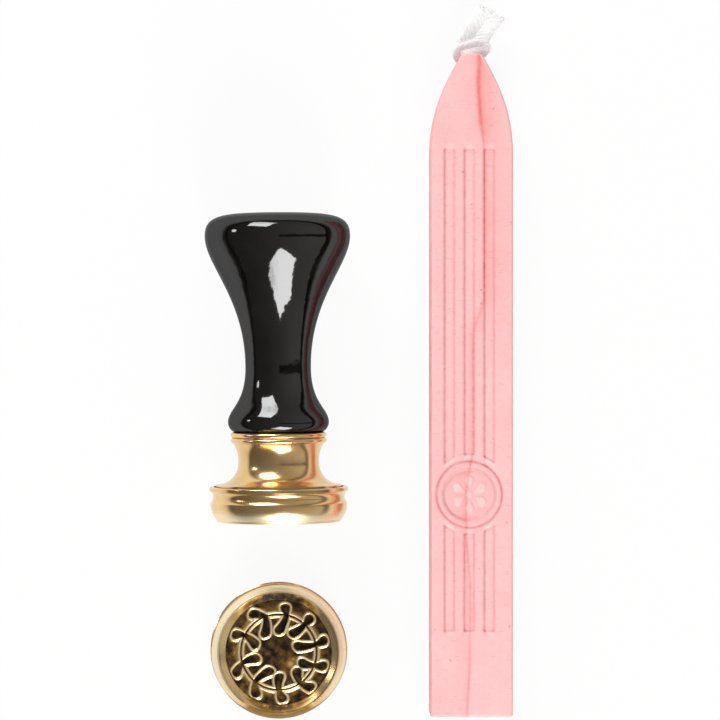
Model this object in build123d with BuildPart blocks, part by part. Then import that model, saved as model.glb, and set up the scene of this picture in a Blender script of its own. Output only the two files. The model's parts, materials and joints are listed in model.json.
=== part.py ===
"""A wax sealing set laid out on a table: a stamp, a spare seal head and a stick of wax.

Every piece is a separate solid in one shared frame: millimetres, +Z up, the set lying on z = 0
with its bounding box centred on the origin. The stamp lies on its side along Y with its seal
towards -Y. The spare head lies face up beyond it, and the stick lies beside both.
"""
from build123d import *
from math import atan2, cos, radians, sin
import os

# ---- Seal heads -------------------------------------------------------------------------
seal_d = 25.4            # nominal one-inch seal
seal_h = 6.4             # back rim to face crest
rim_wall = 0.8           # raised rim round the back
rim_edge = 0.25          # rounding of the rim's top edge
rim_land = 0.45          # straight outer stretch of the rim
recess_depth = 1.15      # back rim down to the recess floor
groove_depth = 0.65      # turned groove below the rim
groove_w = 2.2
band_step = 0.19         # how far the lower band stays inside the rim
band_land = 0.3
shoulder_in = 0.9        # inward reach of the rounded shoulder
crest_round = 0.4
crest_drop = 0.5
crest_w = 0.2
lip_w = 1.25             # sloping lip between the crest and the sunk field
field_depth = 0.9
web = 0.9                # metal left between the blind hole and the field
stem_in = 2.75           # wreath stem, inward from the field's edge
stem_w = 0.5
inner_leaf_len = 4.1
inner_leaf_angle = 70.0  # lean of an inner leaf away from the stem, degrees
outer_leaf_len = 2.9
outer_leaf_angle = 52.0
leaf_w = 1.9
leaf_foot_r = 0.25       # narrow end of a leaf, on the stem
leaf_pairs = 10
wreath_turn = 13.3       # place of the first pair round the face, degrees
engraving_depth = 0.45

# ---- Neck -------------------------------------------------------------------------------
plate_gap = 0.4          # open ring between the neck's foot plate and the seal's rim
plate_lip = 0.1
plate_t = 1.05
cavetto_r = 4.0          # hollow flare down to the foot plate
neck_at = 45.8           # station of the narrowest point, from the handle's top
bead_r = 8.8
bead_root_r = 8.35
bead_w = 1.0
bead_count = 2
cone_reach = 1.25        # length of the sloping run under the beads
cone_in = 0.15
neck_ease = 1.6

# ---- Handle, stations measured from its top along the stamp's axis ------------------------
crown_r = 13.3
crown_h = 4.4
crown_flat_r = 10.5
crown_edge = 0.45
belly_pull = 5.2
waist_r = 6.0
waist_at = 28.3
waist_pull = 12.6
swell_pull = 6.8
foot_pull = 2.6
foot_r = 9.24
foot_at = 38.4
foot_h = 1.75
foot_face_r = 8.1

# ---- Stud, insert and washer --------------------------------------------------------------
thread_r = 3.0           # M6 stud
thread_pitch = 1.0
thread_clearance = 0.05
passing_clearance = 0.15
insert_r = 4.2
insert_len = 12.0
insert_neck = 0.35       # depth of the valleys between the insert's barbs
barb_count = 5
socket_clearance = 0.05
washer_r = 5.6
washer_t = 0.4
stud_end_gap = 0.3
seat_clearance = 0.02

# ---- Wax stick and wick ---------------------------------------------------------------------
stick_len = 122.1        # base to tip, without the wick
stick_w = 15.24
stick_t = 9.5
stick_edge = 0.5
base_corner = 0.8
tip_half_w = 1.8
ogive_len = 19.0
ogive_pull_w = 4.2
ogive_pull = 7.0
shoulder_pull = 7.0
flute_w = 1.77
flute_pitch = 3.66
flute_count = 3
flute_depth = 0.5
flute_shift = 0.46       # the fluted band sits this far left of the stick's middle
flute_start = 17.6       # from the tip
flute_end = 106.4
medal_at = 81.1          # medallion centre, from the tip
medal_r = 6.07
medal_ring_w = 1.29
medal_rise = 0.3
medal_sink = 0.3
medal_moat = 1.2         # plain ring that the flutes stop short of
wick_r = 1.2
wick_clearance = 0.05
wick_base_gap = 4.0      # wax below the wick's lower end
knot_r = 2.2
wick_end_r = 2.25
wick_lean = 3.3          # sideways reach of the cut end
wick_rise = 9.45         # tip of the wax to the top of the wick
wick_t = 2.8
wick_edge = 0.9

# ---- Layout ------------------------------------------------------------------------------
stick_gap = 14.78        # handle crown to stick
stamp_from_base = 92.77  # stick base to the top of the handle, along Y
spare_from_base = 11.7   # stick base to the spare head's centre, along Y
spare_shift = 0.16       # spare head's centre, to the right of the handle's crown
stamp_lean = 0.31        # the stamp lies a little out of square, degrees

# ---- Worked out from the sizes above --------------------------------------------------------
rim_r = seal_d / 2
recess_r = rim_r - rim_wall
plate_r = recess_r - plate_gap
neck_r = plate_r - plate_lip - cavetto_r
band_r = rim_r - band_step
groove_start = rim_edge + rim_land
band_start = groove_start + groove_w
shoulder_start = band_start + band_land
crest_out_r = band_r - shoulder_in
crest_r = crest_out_r - crest_round
field_r = crest_r - crest_w - lip_w
field_at = seal_h - field_depth
hole_r = thread_r + thread_clearance
hole_end = field_at - web
stem_r = field_r - stem_in

handle_len = foot_at + foot_h
neck_top = handle_len + seat_clearance
bead_end = neck_top + bead_count * bead_w
plate_top = neck_at + cavetto_r
neck_end = plate_top + plate_t
washer_at = neck_end + seat_clearance
floor_at = washer_at + washer_t + seat_clearance
seal_back = floor_at - recess_depth
stud_end = seal_back + hole_end - stud_end_gap
insert_top = handle_len - insert_len
passing_r = thread_r + passing_clearance

set_w = 2 * crown_r + stick_gap + stick_w
lowest = min(0, spare_from_base - rim_r)
set_l = stick_len + wick_rise - lowest
stamp_x = -set_w / 2 + crown_r
stick_x = set_w / 2 - stick_w / 2
base_y = -set_l / 2 - lowest
tip_y = base_y + stick_len

# The stamp rests on two circles, the handle's crown and the seal's rim, so its axis tilts a little.
rim_contact = seal_back + groove_start
tilt = atan2(crown_r - rim_r, rim_contact - crown_h)
lean = radians(stamp_lean)
stamp_side = Vector(cos(lean), sin(lean), 0)
stamp_dir = Vector(sin(lean) * cos(tilt), -cos(lean) * cos(tilt), -sin(tilt))
stamp_normal = stamp_side.cross(stamp_dir)
crown_centre = Vector(stamp_x, base_y + stamp_from_base - crown_h, crown_r * cos(tilt))
stamp_top = crown_centre - stamp_dir * crown_h

# Section planes hold x = radius and y = station along the axis that the outline is turned about.
stamp_section = Plane(origin=stamp_top, x_dir=stamp_side, z_dir=stamp_normal)
stamp_axis = Axis(stamp_top, stamp_dir)
seal_origin = stamp_top + stamp_dir * seal_back
seal_section = Plane(origin=seal_origin, x_dir=stamp_side, z_dir=stamp_normal)
spare_origin = Vector(stamp_x + spare_shift, base_y + spare_from_base, 0)
spare_section = Plane(origin=spare_origin, x_dir=(1, 0, 0), z_dir=(0, -1, 0))
spare_axis = Axis(spare_origin, (0, 0, 1))


def across(station):
    """Plane square to the stamp's axis at a station, facing the seal."""
    return Plane(origin=stamp_top + stamp_dir * station, x_dir=stamp_side, z_dir=stamp_dir)


def leaf_outline(length):
    """A teardrop leaf that grows from the stem along its own Y."""
    with BuildSketch() as leaf:
        Circle(leaf_foot_r)
        with Locations((0, length - leaf_foot_r - leaf_w / 2)):
            Circle(leaf_w / 2)
        make_hull()
    return leaf.sketch


inner_leaf = leaf_outline(inner_leaf_len)
outer_leaf = leaf_outline(outer_leaf_len)


def seal_head(section, axis):
    """A turned seal with a recessed back, a blind threaded hole and an engraved wreath."""
    face = Plane(origin=section.origin + axis.direction * field_at, x_dir=section.x_dir, z_dir=axis.direction)
    with BuildPart() as head:
        with BuildSketch(section):
            with BuildLine():
                Polyline((0, field_at), (0, hole_end), (hole_r, hole_end), (hole_r, recess_depth),
                         (recess_r, recess_depth), (recess_r, 0), (rim_r - rim_edge, 0))
                JernArc((rim_r - rim_edge, 0), (1, 0), rim_edge, 90)
                Line((rim_r, rim_edge), (rim_r, groove_start))
                ThreePointArc((rim_r, groove_start), (rim_r - groove_depth, groove_start + groove_w / 2),
                              (band_r, band_start))
                Line((band_r, band_start), (band_r, shoulder_start))
                TangentArc((band_r, shoulder_start), (crest_out_r, seal_h - crest_drop), tangent=(0, 1))
                Bezier((crest_out_r, seal_h - crest_drop), (crest_out_r, seal_h - crest_drop / 3),
                       (crest_r + crest_round / 2, seal_h), (crest_r, seal_h))
                Polyline((crest_r, seal_h), (crest_r - crest_w, seal_h), (field_r, field_at), (0, field_at))
            make_face()
        revolve(axis=axis)
        with BuildSketch(face):
            Circle(stem_r + stem_w / 2)
            Circle(stem_r - stem_w / 2, mode=Mode.SUBTRACT)
            with PolarLocations(stem_r, leaf_pairs, start_angle=wreath_turn):
                with Locations(Location((0, 0, 0), (0, 0, -outer_leaf_angle))):
                    add(outer_leaf)
                with Locations(Location((0, 0, 0), (0, 0, inner_leaf_angle))):
                    add(inner_leaf)
        extrude(amount=-engraving_depth, mode=Mode.SUBTRACT)
    return head


# ---- Handle: turned hardwood under black lacquer --------------------------------------------
with BuildPart() as handle:
    with BuildSketch(stamp_section):
        with BuildLine():
            Bezier((0, 0), (crown_flat_r, 0), (crown_r, crown_edge), (crown_r, crown_h))
            Bezier((crown_r, crown_h), (crown_r, crown_h + belly_pull),
                   (waist_r, waist_at - waist_pull), (waist_r, waist_at))
            Bezier((waist_r, waist_at), (waist_r, waist_at + swell_pull),
                   (foot_r, foot_at - foot_pull), (foot_r, foot_at))
            TangentArc((foot_r, foot_at), (foot_face_r, handle_len), tangent=(0, 1))
            Polyline((foot_face_r, handle_len), (0, handle_len), (0, 0))
        make_face()
    revolve(axis=stamp_axis)
    with BuildSketch(across(handle_len)):
        Circle(insert_r + socket_clearance)
    extrude(amount=-insert_len, mode=Mode.SUBTRACT)
handle.part.label = "handle"

# ---- Threaded insert pressed into the handle's foot, with ring barbs -------------------------
barb_pitch = insert_len / barb_count
with BuildPart() as handle_insert:
    with BuildSketch(stamp_section):
        with BuildLine():
            for barb in range(barb_count):
                root = insert_top + barb * barb_pitch
                Polyline((insert_r - insert_neck, root), (insert_r, root + barb_pitch),
                         (insert_r - insert_neck, root + barb_pitch))
            Polyline((insert_r - insert_neck, handle_len), (hole_r, handle_len), (hole_r, insert_top),
                     (insert_r - insert_neck, insert_top))
        make_face()
    revolve(axis=stamp_axis)
handle_insert.part.label = "handle_insert"

# ---- Stud: one threaded rod through insert, neck, washer and seal ------------------------------
with BuildPart() as stud:
    with BuildSketch(across(insert_top)):
        Circle(thread_r)
    extrude(amount=stud_end - insert_top)
    chamfer(stud.edges().filter_by(GeomType.CIRCLE), length=thread_pitch / 2)
stud.part.label = "stud"

# ---- Neck: beads, a waist and a hollow flare down to its foot plate -----------------------------
with BuildPart() as seal_neck:
    with BuildSketch(stamp_section):
        with BuildLine():
            Line((passing_r, neck_top), (bead_root_r, neck_top))
            for bead in range(bead_count):
                start = neck_top + bead * bead_w
                ThreePointArc((bead_root_r, start), (bead_r, start + bead_w / 2), (bead_root_r, start + bead_w))
            Bezier((bead_root_r, bead_end), (neck_r + cone_in, bead_end + cone_reach),
                   (neck_r, neck_at - neck_ease), (neck_r, neck_at))
            JernArc((neck_r, neck_at), (0, 1), cavetto_r, -90)
            Polyline((neck_r + cavetto_r, plate_top), (plate_r, plate_top), (plate_r, neck_end),
                     (passing_r, neck_end), (passing_r, neck_top))
        make_face()
    revolve(axis=stamp_axis)
seal_neck.part.label = "seal_neck"

# ---- Lock washer between the neck and the seal ----------------------------------------------
with BuildPart() as lock_washer:
    with BuildSketch(across(washer_at)):
        Circle(washer_r)
        Circle(passing_r, mode=Mode.SUBTRACT)
    extrude(amount=washer_t)
lock_washer.part.label = "lock_washer"

# ---- The seal on the stamp, and the spare one lying face up -----------------------------------
seal_die = seal_head(seal_section, stamp_axis)
seal_die.part.label = "seal_die"
spare_die = seal_head(spare_section, spare_axis)
spare_die.part.label = "spare_die"

# ---- Wax stick: a flat moulded bar with an ogive tip, flutes and a ringed medallion --------------
wick_z = stick_t / 2
flute_mid = (flute_start + flute_end) / 2
with BuildPart() as wax_stick:
    with BuildSketch(Plane(origin=(stick_x, tip_y, 0))):
        with BuildLine():
            Line((0, 0), (tip_half_w, 0))
            Bezier((tip_half_w, 0), (tip_half_w + ogive_pull_w, -ogive_pull),
                   (stick_w / 2, -ogive_len + shoulder_pull), (stick_w / 2, -ogive_len))
            Polyline((stick_w / 2, -ogive_len), (stick_w / 2, -stick_len), (0, -stick_len))
            mirror(about=Plane.YZ)
        make_face()
    extrude(amount=stick_t)
    fillet(wax_stick.edges().filter_by(Axis.Z).group_by(Axis.Y)[0], radius=base_corner)
    fillet(wax_stick.faces().filter_by(Axis.Z).edges(), radius=stick_edge)
    with BuildSketch(Plane(origin=(stick_x - flute_shift, tip_y - flute_mid, stick_t))):
        with GridLocations(flute_pitch, 0, flute_count, 1):
            Rectangle(flute_w, flute_end - flute_start)
        with Locations((0, flute_mid - medal_at)):
            Circle(medal_r + medal_moat, mode=Mode.SUBTRACT)
    extrude(amount=-flute_depth, mode=Mode.SUBTRACT)
    with BuildSketch(Plane(origin=(stick_x - flute_shift, tip_y - medal_at, stick_t))):
        Circle(medal_r)
    extrude(amount=medal_rise)
    with BuildSketch(Plane(origin=(stick_x - flute_shift, tip_y - medal_at, stick_t + medal_rise))):
        Circle(medal_r - medal_ring_w)
    extrude(amount=-medal_rise - medal_sink, mode=Mode.SUBTRACT)
    with BuildSketch(Plane(origin=(stick_x, tip_y, wick_z), x_dir=(1, 0, 0), z_dir=(0, -1, 0))):
        Circle(wick_r + wick_clearance)
    extrude(amount=stick_len - wick_base_gap, mode=Mode.SUBTRACT)
wax_stick.part.label = "wax_stick"

# ---- Wick: straight through the wax, then a knotted, flared stub above the tip --------------------
with BuildPart() as wick:
    with BuildSketch(Plane(origin=(stick_x, tip_y, wick_z), x_dir=(1, 0, 0), z_dir=(0, -1, 0))):
        Circle(wick_r)
    extrude(amount=stick_len - wick_base_gap)
    with BuildSketch(Plane(origin=(stick_x, tip_y, wick_z - wick_t / 2))):
        with Locations((0, knot_r + seat_clearance)):
            Circle(knot_r)
        with Locations((wick_lean, wick_rise - wick_end_r)):
            Circle(wick_end_r)
        make_hull()
    extrude(amount=wick_t)
    fillet(wick.faces().filter_by(Axis.Z).edges(), radius=wick_edge)
    with BuildSketch(Plane(origin=(stick_x, tip_y, wick_z), x_dir=(1, 0, 0), z_dir=(0, 1, 0))):
        Circle(wick_r)
    extrude(amount=knot_r)
wick.part.label = "wick"

os.makedirs("parts", exist_ok=True)
pieces = (handle, handle_insert, stud, seal_neck, lock_washer, seal_die, spare_die, wax_stick, wick)
for piece in pieces:
    export_step(piece.part, f"parts/{piece.part.label}.step")
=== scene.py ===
"""Dresses a wax sealing set: a lacquered stamp, a spare seal head and a stick of wax with its wick."""
import json
import math

import bmesh
import bpy
import numpy as np
from mathutils import Matrix, Vector


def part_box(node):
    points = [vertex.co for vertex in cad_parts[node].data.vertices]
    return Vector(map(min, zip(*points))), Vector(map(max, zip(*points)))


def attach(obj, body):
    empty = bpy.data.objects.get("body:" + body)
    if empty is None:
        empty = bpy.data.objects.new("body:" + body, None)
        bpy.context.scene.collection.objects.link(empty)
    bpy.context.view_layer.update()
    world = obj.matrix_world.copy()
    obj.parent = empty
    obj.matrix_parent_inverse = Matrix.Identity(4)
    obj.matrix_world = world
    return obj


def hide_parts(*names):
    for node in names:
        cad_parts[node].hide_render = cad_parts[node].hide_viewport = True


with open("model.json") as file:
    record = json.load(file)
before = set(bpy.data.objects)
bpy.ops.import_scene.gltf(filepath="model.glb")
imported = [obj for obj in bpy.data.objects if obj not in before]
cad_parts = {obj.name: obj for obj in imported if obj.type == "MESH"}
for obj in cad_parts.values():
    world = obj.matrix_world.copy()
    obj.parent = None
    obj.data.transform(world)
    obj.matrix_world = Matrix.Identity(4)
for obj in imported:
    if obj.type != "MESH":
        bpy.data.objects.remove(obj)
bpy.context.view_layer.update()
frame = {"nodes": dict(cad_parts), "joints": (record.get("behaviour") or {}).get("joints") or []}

bl_info = {
    "name": "Wax Sealing Set",
    "version": (1, 0, 0),
    "blender": (4, 5, 0),
    "location": "View3D > Sidebar > Sealing Set",
    "description": "Builds the looks of a wax sealing set around its packed solids",
    "category": "Object",
}

MM = 0.001


def linear(code):
    """An sRGB hex colour as linear red, green and blue."""
    channels = [int(code[i:i + 2], 16) / 255 for i in (0, 2, 4)]
    return tuple(c / 12.92 if c <= 0.04045 else ((c + 0.055) / 1.055) ** 2.4 for c in channels)


# ---- Sizes and colours that a user may change ---------------------------------------------------
def length(name, description, millimetres):
    """A length property whose default is given in millimetres."""
    return bpy.props.FloatProperty(name=name, description=description, default=millimetres * MM,
                                   unit="LENGTH", precision=5)


def angle(name, description, degrees):
    """An angle property whose default is given in degrees."""
    return bpy.props.FloatProperty(name=name, description=description, default=math.radians(degrees),
                                   subtype="ANGLE")


def colour(name, description, code):
    """A colour property whose default is an sRGB hex value."""
    return bpy.props.FloatVectorProperty(name=name, description=description, default=linear(code),
                                         subtype="COLOR", size=3, min=0.0, max=1.0)


def count(name, description, default):
    """A whole number of things."""
    return bpy.props.IntProperty(name=name, description=description, default=default, min=1)


class StampSizes(bpy.types.PropertyGroup):
    """Stations are measured from the top of the handle along the stamp's axis."""
    dome_flat: length("Dome flat", "Pull of the dome's flat top", 10.5)
    dome_edge: length("Dome edge", "Pull of the dome's rounded edge", 0.45)
    dome_radius: length("Dome radius", "Widest part of the handle", 13.3)
    dome_height: length("Dome height", "Station of the widest circle", 4.4)
    belly_pull: length("Belly pull", "Fullness under the dome", 5.2)
    waist_radius: length("Waist radius", "Narrowest part of the handle", 6.0)
    waist_at: length("Waist station", "Station of the waist", 28.3)
    waist_pull: length("Waist pull", "Length of the slender stretch", 12.6)
    swell_pull: length("Swell pull", "Run of the swell above the foot", 6.8)
    foot_pull: length("Foot pull", "Fullness of the foot", 2.6)
    foot_radius: length("Foot radius", "Widest part of the foot", 9.24)
    foot_at: length("Foot station", "Station of the foot's widest circle", 38.4)
    foot_face: length("Foot face", "Radius of the handle's flat foot", 8.1)
    handle_end: length("Handle end", "Station of the handle's foot", 40.15)
    neck_top: length("Neck top", "Station of the first bead", 40.17)
    bead_root: length("Bead root", "Radius between the beads", 8.35)
    bead_crest: length("Bead crest", "Radius of a bead's crest", 8.8)
    bead_width: length("Bead width", "Width of one bead", 1.0)
    beads: count("Beads", "Beads between the handle and the neck", 2)
    cone_reach: length("Cone reach", "Sloping run under the beads", 1.25)
    cone_in: length("Cone width", "How far the slope stays outside the neck", 0.15)
    neck_radius: length("Neck radius", "Narrowest part of the neck", 7.4)
    neck_at: length("Neck station", "Station of the narrowest part", 45.8)
    neck_ease: length("Neck ease", "Run into the narrowest part", 1.6)
    flare: length("Flare", "Radius of the hollow flare above the foot plate", 4.0)
    plate_radius: length("Plate radius", "Foot plate inside the seal's rim", 11.5)
    neck_end: length("Neck end", "Station of the foot plate's underside", 50.85)
    passing_radius: length("Passing hole", "Radius of the hole that the stud passes", 3.15)
    socket_radius: length("Socket radius", "Bore for the threaded insert", 4.25)
    insert_top: length("Insert top", "Station of the insert's upper end", 28.15)
    seal_back: length("Seal back", "Station of the seal's back rim", 50.14)
    stud_end: length("Stud end", "Station of the stud's lower end", 54.44)
    thread_radius: length("Thread radius", "Crest of the stud's thread", 3.0)
    thread_depth: length("Thread depth", "Crest to root of the thread", 0.5)
    thread_pitch: length("Thread pitch", "Advance of the seal in one turn", 1.0)


class SealSizes(bpy.types.PropertyGroup):
    """Heights are measured from the seal's back rim towards its face."""
    height: length("Height", "Back rim to face", 6.4)
    rim_radius: length("Rim radius", "Half of the seal's nominal size", 12.7)
    rim_edge: length("Rim edge", "Rounding of the rim", 0.25)
    recess_radius: length("Recess radius", "Sunk back that takes the foot plate", 11.9)
    recess_depth: length("Recess depth", "Depth of the sunk back", 1.15)
    hole_radius: length("Hole radius", "Tapped hole, at the thread's root", 3.05)
    hole_end: length("Hole end", "Height of the blind end of the hole", 4.6)
    groove_start: length("Groove start", "Height of the turned groove", 0.7)
    groove_depth: length("Groove depth", "Depth of the turned groove", 0.65)
    band_start: length("Band start", "Height of the groove's far edge", 2.9)
    band_radius: length("Band radius", "Radius of the band beyond the groove", 12.51)
    shoulder_start: length("Shoulder start", "Height where the side starts to round", 3.2)
    crest_out: length("Crest outside", "Radius where the shoulder meets the crest", 11.45)
    crest_drop: length("Crest drop", "Height of the crest's rounding", 0.35)
    crest_radius: length("Crest radius", "Radius of the face's highest circle", 11.21)
    crest_width: length("Crest width", "Flat of the crest", 0.2)
    field_radius: length("Field radius", "Sunk field that holds the wreath", 9.76)
    field_at: length("Field height", "Height of the sunk field", 5.5)
    stem_radius: length("Stem radius", "Circle that the wreath's stem follows", 7.0)
    stem_width: length("Stem width", "Width of the stem", 0.36)
    leaf_width: length("Leaf width", "Widest part of a leaf", 1.75)
    leaf_foot: length("Leaf foot", "Radius of a leaf's narrow end", 0.46)
    leaf_bow: length("Leaf bow", "How far a leaf bows sideways", 0.34)
    engraving: length("Engraving", "Depth of the leaves below the field", 0.55)
    burr: length("Raised line", "Height of the line left round each leaf", 0.13)
    burr_width: length("Line width", "Half of the width of the raised line", 0.2)


class WaxSizes(bpy.types.PropertyGroup):
    """Distances along the stick are measured from its tip."""
    edge: length("Edge", "Rounding of the stick's long edges", 0.5)
    tip_half: length("Tip half width", "Half of the blunt tip", 1.8)
    ogive: length("Ogive", "Length of the pointed end", 19.0)
    ogive_out: length("Ogive fullness", "Sideways pull of the ogive at the tip", 4.2)
    ogive_pull: length("Ogive pull", "Lengthwise pull of the ogive at the tip", 7.0)
    shoulder_pull: length("Shoulder pull", "Run of the ogive into the straight sides", 7.0)
    flute_width: length("Flute width", "Width of one sunk flute", 1.77)
    flute_pitch: length("Flute pitch", "Flute to flute", 3.66)
    flute_depth: length("Flute depth", "Depth of a flute", 0.26)
    flutes: count("Flutes", "Flutes side by side", 3)
    band_shift: length("Band shift", "Sideways place of the fluted band", -0.46)
    flute_start: length("Flute start", "Where the flutes begin", 17.6)
    flute_end: length("Flute end", "Where the flutes end", 106.4)
    medal_at: length("Medallion place", "Middle of the medallion", 81.1)
    medal_radius: length("Medallion radius", "Outside of the raised ring", 6.07)
    ring_width: length("Ring width", "Width of the raised ring", 1.29)
    ring_rise: length("Ring rise", "Height of the ring over the wax", 0.3)
    medal_sink: length("Medallion sink", "Depth of the field inside the ring", 0.3)
    moat: length("Moat", "Plain wax between the ring and the flutes", 1.2)
    petal_length: length("Petal length", "Length of a petal of the rosette", 3.2)
    petal_width: length("Petal width", "Width of a petal of the rosette", 2.2)
    petals: count("Petals", "Petals of the rosette in the medallion", 6)


class WickSizes(bpy.types.PropertyGroup):
    """The braided wick."""
    half_width: length("Half width", "Middle of the braid to its outer strands", 1.85)
    half_depth: length("Half depth", "Middle of the braid to its upper strands", 0.42)
    strand: length("Strand", "Radius of one strand", 0.55)
    pitch: length("Pitch", "Length in which a strand crosses over and back", 9.0)
    strands: count("Strands", "Strands in the braid", 11)
    fibre: length("Fibre", "Length of a loose cotton fibre", 0.45)


class FinishColours(bpy.types.PropertyGroup):
    """Colours as the eye sees them in plain light."""
    lacquer: colour("Lacquer", "Black lacquer over the handle", "080707")
    brass: colour("Brass", "Polished brass", "EFCD97")
    # Worn brass: pale brass for real wear, also used as painted highlight on the seal's raised lines, lip and
    # rim. Dull, patina and oxide below also render the painted shade of the lip and of the spare head's rim.
    worn: colour("Worn brass", "Pale brass where handling keeps it bright", "FFEFCB")
    dull: colour("Dull brass", "Dull yellow of the sunk field", "93702F")
    patina: colour("Patina", "Brown patina in the sunk field", "5E4525")
    soot: colour("Soot", "Oxide left in the deepest cuts", "20170E")
    steel: colour("Steel", "Zinc-plated steel", "A9ACB0")
    wax: colour("Wax", "Pale pink sealing wax", "FFCCCC")
    # A redder wax for random tint, and for painted glow where light would soak into the wax.
    blush: colour("Blush", "Redder wax where light soaks in", "FF9692")
    # Painted shade in the wax's sharp lines: flute walls, ring feet, petals, crease and side faces.
    groove: colour("Groove", "Wax in a sharp, shaded line", "D65A63")
    # Painted highlight on the scooped flute ends and the rosette's petals.
    bloom: colour("Bloom", "Paler wax where the mould scooped it", "FFE2DF")
    speck: colour("Speck", "Dust caught in the wax", "A8685F")
    cotton: colour("Cotton", "Bleached cotton", "F3F3F5")
    paper: colour("Paper", "White studio paper", "F6F6F6")
    table: colour("Table", "Grey table beyond the paper", "6A6763")


class StageSettings(bpy.types.PropertyGroup):
    """The camera and the white sweep."""
    lens: bpy.props.FloatProperty(name="Lens", description="Focal length of the camera in millimetres",
                                  default=201.4, min=1.0)
    camera_right: length("Camera right", "Camera to the right of the set's middle", -8.3)
    camera_back: length("Camera back", "Camera beyond the set's middle, towards the wick", 5.3)
    camera_height: length("Camera height", "Camera above the table", 750.0)
    aim_right: length("Aim right", "Where the camera aims, to the right of the middle", 0.1)
    aim_back: length("Aim back", "Where the camera aims, beyond the middle", 0.48)
    aim_height: length("Aim height", "Where the camera aims, above the table", 12.7)
    sweep_radius: length("Sweep radius", "Radius of the white floor", 9000.0)
    sweep_wall: length("Sweep wall", "Height of the wall round the floor", 950.0)


GROUPS = {
    "sealing_stamp": StampSizes,
    "sealing_head": SealSizes,
    "sealing_wax": WaxSizes,
    "sealing_wick": WickSizes,
    "sealing_finish": FinishColours,
    "sealing_stage": StageSettings,
}


def settings(group):
    """A property group of this scene."""
    return getattr(bpy.context.scene, group)


# ---- Nodes ----------------------------------------------------------------------------------
def add(tree, kind, inputs=(), **settings):
    """Adds a node. Its inputs go in order, or by name or number, and take a plain value or a link."""
    node = tree.nodes.new(kind)
    for name, value in settings.items():
        setattr(node, name, value)
    for key, value in inputs.items() if isinstance(inputs, dict) else enumerate(inputs):
        socket = node.inputs[key]
        if isinstance(value, bpy.types.Node):
            value = next(output for output in value.outputs if output.enabled)
        if isinstance(value, bpy.types.NodeSocket):
            tree.links.new(value, socket)
        elif socket.type == "RGBA" and len(value) == 3:
            socket.default_value = (*value, 1.0)
        else:
            socket.default_value = value
    return node


def cleared(owner):
    """The emptied node tree of a material, a world or a lamp."""
    owner.use_nodes = True
    owner.node_tree.nodes.clear()
    return owner.node_tree


def geometry_tree(name, sockets):
    """A geometry tree with named inputs, and the outputs of its input node by name."""
    tree = bpy.data.node_groups.new(name, "GeometryNodeTree")
    tree.interface.new_socket("Thread", in_out="INPUT", socket_type="NodeSocketGeometry")
    for label, kind in sockets.items():
        tree.interface.new_socket(label, in_out="INPUT", socket_type="NodeSocket" + kind)
    tree.interface.new_socket("Material", in_out="INPUT", socket_type="NodeSocketMaterial")
    tree.interface.new_socket("Geometry", in_out="OUTPUT", socket_type="NodeSocketGeometry")
    return tree, add(tree, "NodeGroupInput").outputs


def close_tree(tree, inputs, mesh):
    """Ends a geometry tree: smooth, real geometry that carries its material."""
    smoothed = add(tree, "GeometryNodeSetShadeSmooth", [mesh])
    real = add(tree, "GeometryNodeRealizeInstances", [smoothed])
    dressed = add(tree, "GeometryNodeSetMaterial", {"Geometry": real, "Material": inputs["Material"]})
    add(tree, "NodeGroupOutput", [dressed])
    return tree


def thread_mesh(name, points, closed=False):
    """A thread of points for a geometry tree to work along."""
    edges = [(i, i + 1) for i in range(len(points) - 1)]
    if closed:
        edges.append((len(points) - 1, 0))
    mesh = bpy.data.meshes.new(name)
    mesh.from_pydata(points, edges, [])
    return mesh


def grow(name, tree, mesh, values):
    """Runs a tree on a thread and keeps the result as an object with a plain mesh."""
    thing = bpy.data.objects.new(name, mesh)
    bpy.context.scene.collection.objects.link(thing)
    modifier = thing.modifiers.new("Shape", "NODES")
    modifier.node_group = tree
    for item in tree.interface.items_tree:
        if item.in_out == "INPUT" and item.name in values:
            modifier[item.identifier] = values[item.name]
    graph = bpy.context.evaluated_depsgraph_get()
    grown = bpy.data.meshes.new_from_object(thing.evaluated_get(graph), preserve_all_data_layers=True,
                                            depsgraph=graph)
    thing.modifiers.remove(modifier)
    thing.data = grown
    return thing


def close_up(thing, place=None, crease=38.0):
    """Sets a new mesh in its place, with its faces outwards and its hard edges sharp."""
    mesh = thing.data
    if place is not None:
        mesh.transform(place)
    grid = bmesh.new()
    grid.from_mesh(mesh)
    bmesh.ops.recalc_face_normals(grid, faces=grid.faces)
    grid.to_mesh(mesh)
    grid.free()
    mesh.shade_smooth()
    mesh.set_sharp_from_angle(angle=math.radians(crease))
    return thing


def finish_piece(piece, body, slot, *nodes):
    """Lets a finished piece ride on its body and stand for its nodes."""
    if not piece.data.polygons:
        raise RuntimeError(f"{piece.name} came out empty")
    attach(piece, body)
    if nodes:
        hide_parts(*nodes)


# ---- Outlines -------------------------------------------------------------------------------
def bezier(a, b, c, d, steps=24):
    """Points along a cubic curve, without its first point."""
    points = []
    for i in range(1, steps + 1):
        t = i / steps
        u = 1 - t
        points.append(tuple(u ** 3 * p + 3 * u * u * t * q + 3 * u * t * t * r + t ** 3 * s
                            for p, q, r, s in zip(a, b, c, d)))
    return points


def arc(centre, radius, start, end, steps=12):
    """Points along an arc between two angles in degrees, without its first point."""
    turns = [math.radians(start + (end - start) * i / steps) for i in range(1, steps + 1)]
    return [(centre[0] + radius * math.cos(t), centre[1] + radius * math.sin(t)) for t in turns]


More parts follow.
